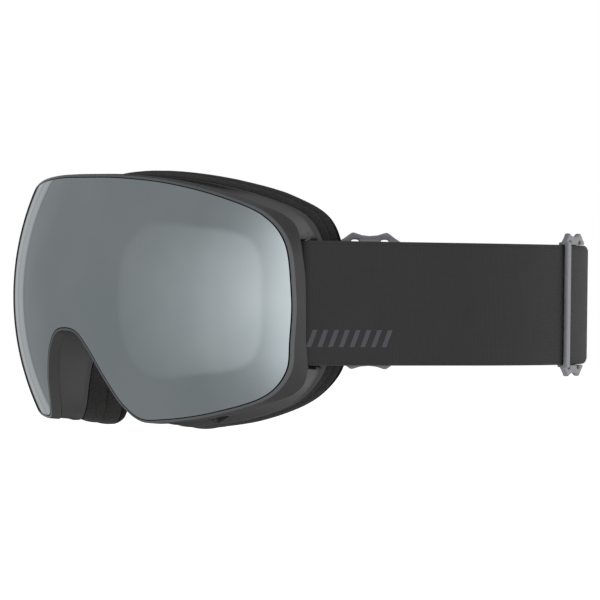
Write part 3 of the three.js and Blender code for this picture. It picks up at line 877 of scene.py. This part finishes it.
flush_front = bezel_back(rim_out - 0.1, bezel_depth + 0.25, temple_depth + 0.25)
flush_back = face_loop(0.3, -flange_thickness)
flush_middle = flush_front * (0.65, 0.5, 0.6) + flush_back * (0.35, 0.5, 0.4)
frame_loops = [
    sphere_loop(0, wall_front), fairing(sphere_loop(0, wall_front), flush_front),
    fairing(sphere_loop(-0.4, wall_front) * 0.5 + face_loop(-1.4, -1.8) * 0.5, flush_middle),
    fairing(face_loop(-1, -flange_thickness), face_loop(flange_edge, -flange_thickness - 0.4)),
    face_loop(flange_edge, -flange_thickness),
    face_loop(flange_edge, 0), face_loop(-flange_width, 0), face_loop(-flange_width, -flange_thickness),
    face_loop(-1 - wall_thickness, -flange_thickness), sphere_loop(-wall_thickness, wall_front),
]
rear_frame = ring_piece("rear_frame_moulding", frame_loops, 0.35, 40, 2)

vent_pitch, vent_half_width, vent_radius = 15, 4.5, 1.4
vents = [((i - 2.5) * vent_pitch, face_top) for i in range(6)]
for side in (1, -1):
    for i in range(2):
        vents.append((side * (0.48 * face_half_width + i * vent_pitch), face_bottom))
boxes = []
for x, z in vents:
    front = on_sphere(np.array([x, 0.8 * z]), wall_front)[1] + 3.5
    back = float(face_y(np.array(x), np.array(0.8 * z))) - flange_thickness - 3.5
    low, high = sorted((0.62 * z, 1.3 * z))
    boxes.append(solid_box(
        (x - vent_half_width, front, low), (x + vent_half_width, back, high), vent_radius,
    ))
cut_or_join(rear_frame, join(boxes), "DIFFERENCE", crossing=True)
smooth(rear_frame, 40)
dress(rear_frame, frame_grain)
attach(rear_frame, "frame")
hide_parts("rear_frame")
say(rear_frame)

arm_height, arm_half_depth, pin_overhang = 3, 2, 3.2
for side, name in ((1, "left"), (-1, "right")):
    for low_z, where in ((strap_top + gap, "top"), (strap_foot - gap - arm_height, "bottom")):
        ends = sorted((side * 78.5, side * pin_x))
        arm = solid_box(
            (ends[0], pin_y - arm_half_depth, low_z),
            (ends[1], pin_y + arm_half_depth, low_z + arm_height),
        )
        boss = rod(side * pin_x, pin_y, low_z, low_z + arm_height, arm_half_depth)
        cut_or_join(arm, boss, "UNION")
        arm.name = arm.data.name = f"strap_arm_{where}_{name}"
        round_edges(arm, 0.3, 2)
        smooth(arm, 40)
        dress(arm, frame_grain)
        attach(arm, "frame")
    pin = rod(side * pin_x, pin_y, strap_foot - pin_overhang, strap_top + pin_overhang, pin_radius)
    pin.name = pin.data.name = f"strap_pin_{name}"
    round_edges(pin, 0.25, 2)
    smooth(pin, 40)
    dress(pin, steel)
    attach(pin, "frame")
    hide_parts(f"strap_anchor_pin_{name}")

for name in ("vent_foam_top", "vent_foam_cheek_left", "vent_foam_cheek_right"):
    dress(frame["nodes"][name], vent_mesh_foam)

# %% [markdown]
# ## The face foam
#
# The foam is cut from sheet and laminated: two layers of open-cell foam and a thin black fleece that
# touches the skin. Each cut edge bulges a little between its glue lines. The grid's rows follow that
# crown, and a soft noise moves the surface by a few tenths of a millimetre, as foam is never true.


# %% Face foam
def foam_layer(name, height, thickness, outer, inner, crown, rows=7):
    """A strip of foam: its outer side, its face, and its inner side, each a few rows of the grid."""
    top = height + thickness
    loops = []

    def edge(share, bulge=0.0):
        """How far the side stands out from the outline: most at the brow and along the cheeks."""
        return lambda out: share * foam_proud * out[:, 1] ** 2 - 0.4 + bulge

    for i in range(rows):
        t = i / (rows - 1)
        bulge = crown * math.sin(math.pi * t)
        share = outer[0] + (outer[1] - outer[0]) * t
        loops.append(face_loop(edge(share, bulge), height + thickness * t))
    for t in (0.25, 0.5, 0.75):
        across = (lambda out, t=t: (1 - t) * edge(outer[1])(out) + t * (inner[1] - flange_width))
        loops.append(face_loop(across, top))
    for i in range(rows):
        t = 1 - i / (rows - 1)
        bulge = crown * math.sin(math.pi * t)
        d = inner[0] + (inner[1] - inner[0]) * t - flange_width
        loops.append(face_loop(d - bulge, height + thickness * t))
    piece = lay_grid(name, loops, close_rows=True, close_columns=True)
    round_edges(piece, 0.35, 2, 45)
    lumps = bpy.data.textures.new(name + "_lumps", "CLOUDS")
    lumps.noise_scale = 9 * MM
    finish_with(
        piece, "DISPLACE", texture=lumps, texture_coords="LOCAL", strength=0.25 * MM, mid_level=0.5,
    )
    smooth(piece, 60, weighted=False)
    return piece


heights = [gap + sum(foam_layers[:i]) for i in range(3)]
outer_shares = (0.25, 0.75, 1, 0.5)
inner_insets = (0, 1.2, 1.6, 0.6)
layer_names = ("face_foam_base", "face_foam_middle", "face_foam_fleece")
for i, node_name in enumerate(layer_names):
    piece = foam_layer(
        node_name + "_layer", heights[i], foam_layers[i] - 0.05, outer_shares[i : i + 2],
        inner_insets[i : i + 2], 0.35 if i < 2 else 0.2, 7 if i < 2 else 4,
    )
    dress(piece, fleece if i == 2 else face_foam)
    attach(piece, "frame")
    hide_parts(node_name)
    say(piece)

# %% [markdown]
# ## The strap
#
# One band runs from pin to pin round the head. It is swept: a section with rounded edges and a fine
# groove inside each selvedge is carried along the strap's path. The path is a wrap round the pin, a
# straight run, a wide bend beside the head and a tighter one behind it. The points lie about a
# millimetre apart, so that the UV map can hold real lengths.


# %% Strap path
def arc(x, y, radius, start, end, steps):
    angles = np.linspace(start, end, steps + 1)
    return np.column_stack([x + radius * np.cos(angles), y + radius * np.sin(angles)])


back_radius = half_span - bend_radius + bend_radius * math.cos(bend_angle)
back_bend = back_radius / math.cos(bend_angle)
back_y = bend_y + (bend_radius - back_bend) * math.sin(bend_angle)


def along(points):
    return np.r_[0, np.cumsum(np.linalg.norm(np.diff(points, axis=0), axis=1))]


def outer_path():
    left = np.vstack([
        [[return_x, pin_y + 12]],
        arc(pin_x, pin_y, wrap_radius, -math.pi, 0, 16),
        arc(bend_x, bend_y, bend_radius, 0, bend_angle, 100),
        arc(0, back_y, back_bend, bend_angle, math.pi / 2, 60)[1:],
    ])
    return np.vstack([left, (left * (-1, 1))[::-1][1:]])


def normals_of(path):
    tangent = np.gradient(path, axis=0)
    tangent /= np.linalg.norm(tangent, axis=1)[:, None]
    return np.column_stack([tangent[:, 1], -tangent[:, 0]])


def webbing_section(width, thickness, groove=0.12, samples=18):
    """The section of the webbing, round from the top of its outer face: (out, up) points."""
    half, w = thickness / 2, width / 2
    side = [
        (half, w - 1.7), (half, w - 1.45), (half - groove, w - 1.2), (half, w - 0.95),
        (half - 0.05, w - 0.5),
    ]
    tip = [(0.75 * half, w - 0.12), (0, w)]
    inner = np.linspace(w - 1.7, -w + 1.7, samples)[1:-1]
    outer_face = [(half, z) for z in inner]
    top_out = tip[::-1] + side[::-1]
    bottom_out = [(a, -z) for a, z in side] + [(a, -z) for a, z in tip]
    front = top_out + outer_face + bottom_out
    back = [(-a, z) for a, z in front[1:-1]][::-1]
    return np.array(front + back)


def sweep(name, path, section, thin=1.0, narrow=0.0):
    """Carries a section along a flat path. The section may be thinner or narrower at each point."""
    out = normals_of(path)
    steps = along(path)
    half = section[:, 1].max()
    grid = []
    for a, z in section:
        moved = path + out * np.reshape(a * thin, (-1, 1))
        height = strap_z + z - narrow * z / half
        grid.append(np.column_stack([moved, height * np.ones(len(path))]))
    around = along(np.vstack([section, section[:1]]))
    piece = lay_grid(name, grid, close_rows=True)
    return piece, steps, around


def mark_uv(piece, steps, around):
    """U is the length along the path and V the way round the section, in millimetres."""
    layer = piece.data.uv_layers["UVMap"].data
    uv = np.zeros(len(layer) * 2)
    layer.foreach_get("uv", uv)
    uv = uv.reshape(-1, 2)
    count_u, count_v = len(steps) - 1, len(around) - 1
    u = np.interp(uv[:, 0] * count_u, np.arange(count_u + 1), steps)
    v = np.interp(uv[:, 1] * count_v, np.arange(count_v + 1), around)
    layer.foreach_set("uv", np.column_stack([u, v]).ravel())


path = outer_path()
length = along(path)[-1]
path = resample(path, 620)
turned_by = np.degrees(np.arctan2(path[:, 1] - bend_y, np.abs(path[:, 0]) - bend_x))
turned_by[path[:, 1] < bend_y] = 0
# Pulled round the back of the head the band draws in, by up to 2.6 mm at each edge.
curl = 2.6 * smoothstep(turned_by, 41, 54) * (1 - 0.5 * smoothstep(path[:, 1], 175, 199))
band, steps, around = sweep(
    "strap_outer_band", path, webbing_section(strap_width + 0.4, strap_thickness), narrow=curl,
)
mark_uv(band, steps, around)
smooth(band, 50)
first_bars, bars_length = 26.0, 52.0
dress(band, webbing("elastic_webbing_charcoal_woven", [
    (first_bars, first_bars + bars_length), (length - first_bars - bars_length, length - first_bars),
]))
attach(band, "frame")
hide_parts("strap_band")
say(band)
print("webbing round the head", round(length), "mm")

# %% [markdown]
# ## The strap's inner run
#
# From the pin the webbing comes back inside the outer band. Its end passes round the slider's middle
# bar, folds back on itself and is sewn down. Sliding the slider feeds this run.


# %% Inner run
# How far the webbing's middle is from the centre of the bend at the head's side: on the run itself,
# under the slider's bar, over it, and on the sewn end.
run_at, under_at, over_at, end_at = 126.55, 128.2, 131.2, 128.0
folded_share = 0.62


def at_bend(angle, radius):
    return np.column_stack([bend_x + radius * np.cos(angle), bend_y + radius * np.sin(angle)])


def return_path():
    """The centre line, out to the slider, round its middle bar and back under the fold."""
    mm = 1 / bend_radius
    climb = np.linspace(0, 1, 14)
    to_bar = slider_angle - 5.2 * mm
    past_bar = slider_angle + 4.9 * mm
    start = np.array([[return_x, pin_y + 12 + gap]])
    straight = np.array([[half_span - bend_radius + run_at, bend_y]])
    ahead = at_bend(np.linspace(0, to_bar - 12 * mm, 60), run_at)
    lift = run_at + (under_at - run_at) * smoothstep(climb[1:], 0, 1)
    rise = at_bend(to_bar - 12 * mm * (1 - climb[1:]), lift)
    below = at_bend(np.linspace(to_bar, past_bar, 8)[1:], under_at)
    turn = np.linspace(-math.pi / 2, math.pi / 2, 11)[1:]
    half = (over_at - under_at) / 2
    turn = at_bend(past_bar + half * np.cos(turn) * mm, (over_at + under_at) / 2 + half * np.sin(turn))
    above = at_bend(np.linspace(past_bar, slider_angle - 5.4 * mm, 8)[1:], over_at)
    drop = over_at + (end_at - over_at) * smoothstep(climb[1:], 0, 1)
    fall = at_bend(slider_angle - (5.4 + 7 * climb[1:]) * mm, drop)
    end = at_bend(np.linspace(slider_angle - 12.4 * mm, slider_angle - 26 * mm, 12)[1:], end_at)
    return np.vstack([start, straight, ahead[1:], rise, below, turn, above, fall, end])


def run_thickness(path):
    """Full thickness on the run, thinner where it is folded round the bar."""
    far = np.abs(np.arctan2(path[:, 1] - bend_y, path[:, 0] - bend_x) - slider_angle) * bend_radius
    thin = folded_share + (1 - folded_share) * smoothstep(far, 9, 18)
    lengths = along(path)
    thin[lengths > lengths[-1] - 22] = folded_share
    return thin


inner_webbing = webbing("elastic_webbing_charcoal_inner_run")
thread, tree, shader = new_material(
    "polyester_thread_black_bonded", **{"Base Color": colour("#1A1A1B"), "Roughness": 0.6},
)
place = node(tree, "ShaderNodeTexCoord")
twist = node(tree, "ShaderNodeTexNoise", {"Vector": (place, "Object"), "Scale": 2500.0})
tint = ramp(tree, (twist, "Fac"), [(0.35, colour("#121213")), (0.65, colour("#262628"))])
tree.links.new(tint.outputs["Color"], shader.inputs["Base Color"])


def mirror_x(piece):
    """Turns a finished piece into its mirror image in place."""
    pick(piece)
    bpy.ops.object.mode_set(mode="EDIT")
    bpy.ops.mesh.select_all(action="SELECT")
    bpy.ops.transform.mirror(
        orient_type="GLOBAL", constraint_axis=(True, False, False), center_override=(0, 0, 0),
    )
    bpy.ops.mesh.normals_make_consistent(inside=False)
    bpy.ops.object.mode_set(mode="OBJECT")


def copy_of(piece, name):
    pick(piece)
    bpy.ops.object.duplicate(linked=False)
    made = bpy.context.object
    made.name = made.data.name = name
    return made


path = resample(return_path(), 330)
inner_run, steps, around = sweep(
    "strap_inner_run_left", path, webbing_section(strap_width - 0.6, strap_thickness, samples=12),
    run_thickness(path),
)
mark_uv(inner_run, steps, around)
smooth(inner_run, 50)
dress(inner_run, inner_webbing)
right_run = copy_of(inner_run, "strap_inner_run_right")
mirror_x(right_run)
smooth(right_run, 50)
for piece, side, name in ((inner_run, 1, "left"), (right_run, -1, "right")):
    stop = at_bend(np.array([slider_angle - 0.24]), 127)[0]
    stop = Vector((side * stop[0], stop[1], strap_z)) * MM
    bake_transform(piece)
    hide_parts(f"strap_return_{name}", f"strap_end_{name}")
    say(piece)

# %% [markdown]
# ## Sewing
#
# Two rows of stitches hold the folded end. One stitch is modelled, a short thread sunk at both ends,
# and copied along each row. They sit on the fold, which moves with the slider.


# %% Stitches
row_places, row_stitches = (16.0, 22.0), 18


def stitch_row(along_mm, count, name, side):
    stitches = []
    pitch = (strap_width - 5) / count
    for i in range(count):
        spot = at_bend(np.array([slider_angle - along_mm / bend_radius]), end_at + 0.42)[0]
        z = strap_z - (strap_width - 5) / 2 + (i + 0.5) * pitch
        bpy.ops.mesh.primitive_uv_sphere_add(
            segments=8, ring_count=6, radius=1,
            location=(spot[0] * MM, spot[1] * MM, z * MM), scale=(0.28 * MM, 0.28 * MM, 0.42 * pitch * MM),
        )
        stitches.append(bpy.context.object)
    row = join(stitches)
    bpy.ops.object.transform_apply(location=True, rotation=True, scale=True)
    row.name = row.data.name = name
    bpy.ops.object.shade_smooth()
    if side < 0:
        mirror_x(row)
    dress(row, thread)
    return row


for side, name in ((1, "left"), (-1, "right")):
    for k, spot in enumerate(row_places):
        row = stitch_row(spot, row_stitches, f"stitches_{k + 1}_{name}", side)
        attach(row, f"slider_{name}")

# %% [markdown]
# ## The sliders
#
# A three-bar slider is one acetal moulding. The strap runs under its front bar, and its sewn end holds
# the middle bar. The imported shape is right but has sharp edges, and a moulding that slides on fabric
# has none. So a copy of it is welded, rebuilt on a grid of 0.3 mm voxels and smoothed, which rounds
# every edge and inner corner alike.

# %% Sliders
for name in ("left", "right"):
    piece = copy_of(frame["nodes"][f"slider_{name}"], f"slider_moulding_{name}")
    piece.parent = None
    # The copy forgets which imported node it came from, so that it counts as a new piece.
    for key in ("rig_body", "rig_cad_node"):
        if key in piece:
            del piece[key]
    edit(piece, lambda: bpy.ops.mesh.remove_doubles(threshold=2e-6))
    finish_with(piece, "REMESH", mode="VOXEL", voxel_size=0.3 * MM, use_smooth_shade=True)
    finish_with(piece, "SMOOTH", factor=0.5, iterations=9)
    dress(piece, slider_satin)
    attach(piece, f"slider_{name}")
    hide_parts(f"slider_{name}")
    say(piece)

# %% [markdown]
# ## Grip lines
#
# Silicone is printed on the inside of the strap in lines, so that it holds on a helmet. Wet silicone
# draws itself into a low rounded bead, so each line is a rounded section swept round the back bend.

# %% Grip lines
grip_from = bend_angle + math.radians(3)
inner_face = back_bend - strap_thickness / 2
bead = [(0.62 * math.sin(a), 1.25 * math.cos(a)) for a in np.linspace(0, math.pi, 9)]
bead = np.array(bead + [(-0.05, -0.9), (-0.05, 0.9)])
for i in range(3):
    line = arc(0, back_y, inner_face, math.pi - grip_from, grip_from, 90)
    out = normals_of(line)
    rows = []
    for a, z in bead:
        spot = strap_z + (i - 1) * 14 + z
        moved = line + out * a
        rows.append(np.column_stack([moved, np.full(len(line), spot)]))
    grip = lay_grid(f"grip_line_{i + 1}", rows, close_rows=True)
    smooth(grip, 50, weighted=False)
    dress(grip, silicone_print)
    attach(grip, "frame")
    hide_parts(f"silicone_grip_{i + 1}")
    say(grip)

# %% [markdown]
# ## Floor, light and camera
#
# The goggles hang in the air as if worn, over a plain pale floor. The room is an even white, and the
# mirror needs a room of its own to reflect: in glossy reflections only, the light grows from a dim
# grey in front of the goggles to a broad bright window on the wearer's left. A soft overhead light
# and a dim one at the temple give the frame and the strap their shape.

# %% Floor
pick_none()
bpy.ops.mesh.primitive_plane_add(size=40, location=(0, 0, -0.45))
floor = bpy.context.object
floor.name = "floor"
floor.visible_glossy = False
pale, tree, shader = new_material(
    "painted_board_white_matt",
    **{"Base Color": (0.97, 0.97, 0.97, 1), "Roughness": 1.0, "Specular IOR Level": 0.0,
       "Emission Color": (1, 1, 1, 1), "Emission Strength": 0.6},
)
dress(floor, pale)
floor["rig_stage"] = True

# %% [markdown]
# The mirror's room is written in two angles of the reflected ray: how far round it goes from straight
# ahead, and how far up. A square of the one plus a square of the other is a round window, and fourth
# powers make it a window with rounded corners, which is what a softbox looks like.

# %% Room
world = bpy.data.worlds.new("studio")
bpy.context.scene.world = world
world.use_nodes = True
tree = world.node_tree
tree.nodes.clear()
way = node(tree, "ShaderNodeTexCoord")
axes = node(tree, "ShaderNodeSeparateXYZ", {"Vector": (way, "Generated")})
ahead = node(tree, "ShaderNodeMath", {0: (axes, "Y"), 1: -1.0}, operation="MULTIPLY")
turn = node(tree, "ShaderNodeMath", {0: (axes, "X"), 1: (ahead, "Value")}, operation="ARCTAN2")
rise = node(tree, "ShaderNodeMath", {0: (axes, "Z")}, operation="ARCSINE")


def share(angle, low, high):
    """Where an angle lies between two others in degrees, from 0 to 1."""
    low, high = math.radians(low), math.radians(high)
    return node(tree, "ShaderNodeMapRange", {"Value": angle, "From Min": low, "From Max": high})


def light_ramp(angle, low, high, stops):
    places = [((at - low) / (high - low), [value] * 3) for at, value in stops]
    return ramp(tree, (share(angle, low, high), "Result"), places)


def multiply(a, b):
    return (node(tree, "ShaderNodeMath", {0: a, 1: b}, operation="MULTIPLY"), "Value")


def window_share(angle, middle, half):
    """How far an angle is from the middle of the window, as a share of its half size in degrees."""
    off = node(tree, "ShaderNodeMath", {0: angle, 1: math.radians(middle)}, operation="SUBTRACT")
    return node(tree, "ShaderNodeMath", {0: (off, "Value"), 1: math.radians(half)}, operation="DIVIDE")


turned, risen = (turn, "Value"), (rise, "Value")
across = window_share(turned, 10, 32)
upward = window_share(risen, -2, 28.5)
across2 = multiply((across, "Value"), (across, "Value"))
upward2 = multiply((upward, "Value"), (upward, "Value"))
across4, upward4 = multiply(across2, across2), multiply(upward2, upward2)
reach = node(tree, "ShaderNodeMath", {0: across4, 1: upward4}, operation="ADD")
window = node(
    tree, "ShaderNodeMapRange",
    {"Value": (reach, "Value"), "From Min": 1.2, "From Max": 0.8, "To Min": 0.0, "To Max": 1.0},
    interpolation_type="SMOOTHSTEP",
)
window_level = light_ramp(turned, -25, 45, [
    (-25, 0.03), (-6, 0.09), (8, 0.18), (20, 0.26), (33, 0.27), (42, 0.2),
])
window_fall = node(
    tree, "ShaderNodeMath", {0: upward2, 1: -0.5, 2: 1.0}, operation="MULTIPLY_ADD", use_clamp=True,
)
softbox = multiply((window, "Result"), multiply((window_level, "Color"), (window_fall, "Value")))
side = light_ramp(turned, -180, 180, [
    (-180, 0.6), (-155, 0.5), (-140, 0.0), (12, 0.0), (25, 0.08), (33, 0.2), (40, 0.38), (45, 0.56),
    (50, 0.74), (62, 1.0), (120, 0.9), (150, 0.9), (180, 0.6),
])
side_level = light_ramp(risen, -90, 90, [
    (-70, 0.05), (-45, 0.25), (-35, 0.5), (-24, 0.82), (0, 1.0), (24, 0.82), (35, 0.5), (45, 0.25),
    (70, 0.1),
])
side_glow = multiply((side, "Color"), (side_level, "Color"))
far_side = light_ramp(turned, -132, -90, [
    (-132, 0.35), (-129, 0.03), (-112.5, 0.03), (-110.5, 0.52), (-105, 0.58), (-102.5, 0.45),
    (-100, 0.56), (-95, 0.56), (-93.6, 0.37), (-92.6, 0.29), (-91, 0.35),
])
total = node(tree, "ShaderNodeMath", {0: softbox, 1: side_glow}, operation="ADD")
total = node(tree, "ShaderNodeMath", {0: (total, "Value"), 1: (far_side, "Color")}, operation="ADD")
reflected = node(tree, "ShaderNodeBackground", {"Color": (total, "Value"), "Strength": 1.0})
white = node(tree, "ShaderNodeBackground", {"Color": (1, 1, 1, 1), "Strength": 1.0})
fill = node(tree, "ShaderNodeBackground", {"Color": (1, 1, 1, 1), "Strength": 0.5})
ray = node(tree, "ShaderNodeLightPath")
lit = node(
    tree, "ShaderNodeMixShader",
    {"Fac": (ray, "Is Diffuse Ray"), 1: (white, "Background"), 2: (fill, "Background")},
)
seen = node(
    tree, "ShaderNodeMixShader",
    {"Fac": (ray, "Is Glossy Ray"), 1: (lit, "Shader"), 2: (reflected, "Background")},
)
node(tree, "ShaderNodeOutputWorld", {"Surface": (seen, "Shader")})


# %% Lights
def soft_light(name, place, target, size, power):
    data = bpy.data.lights.new(name, "AREA")
    data.shape = "DISK"
    data.size = size
    data.energy = power
    light = bpy.data.objects.new(name, data)
    bpy.context.scene.collection.objects.link(light)
    way = Vector(target) - Vector(place)
    light.matrix_world = Matrix.Translation(place) @ way.to_track_quat("-Z", "Y").to_matrix().to_4x4()
    light.visible_glossy = False
    return light


soft_light("overhead_softbox", (0.5, -0.4, 1.6), (0, 0.05, 0), 1.6, 14)
soft_light("temple_softbox", (1.6, -0.4, 0.4), (0, 0.05, 0), 1.0, 1.2)

# %% [markdown]
# The camera stands a little over two metres away on a long lens, level with the goggles and turned
# 52.6 degrees from straight ahead towards the wearer's left.

# %% Camera
azimuth, elevation, roll = (math.radians(a) for a in (52.60, 0.30, -0.72))
distance = 2250.69
aim_right, aim_up = -91.43, 2.205
toward = Vector((
    math.sin(azimuth) * math.cos(elevation), -math.cos(azimuth) * math.cos(elevation), math.sin(elevation),
))
right = Vector((math.cos(azimuth), math.sin(azimuth), 0))
up = toward.cross(right)
cam_right = math.cos(roll) * right - math.sin(roll) * up
cam_up = math.sin(roll) * right + math.cos(roll) * up
place = distance * toward - aim_right * cam_right - aim_up * cam_up - Vector((0, depth, 0))
data = bpy.data.cameras.new("camera")
data.sensor_width = 36
data.lens = 349.76
data.clip_start, data.clip_end = 0.1, 60
camera = bpy.data.objects.new("camera", data)
bpy.context.scene.collection.objects.link(camera)
turned = Matrix((cam_right, cam_up, toward)).transposed()
camera.matrix_world = Matrix.Translation(place * MM) @ turned.to_4x4()
bpy.context.scene.camera = camera
bpy.context.scene.view_settings.view_transform = "Standard"
print("camera at", [round(c, 3) for c in camera.location])

# %% Sizes at the end
boxes = {"cad": cad_box, "visual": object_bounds()}
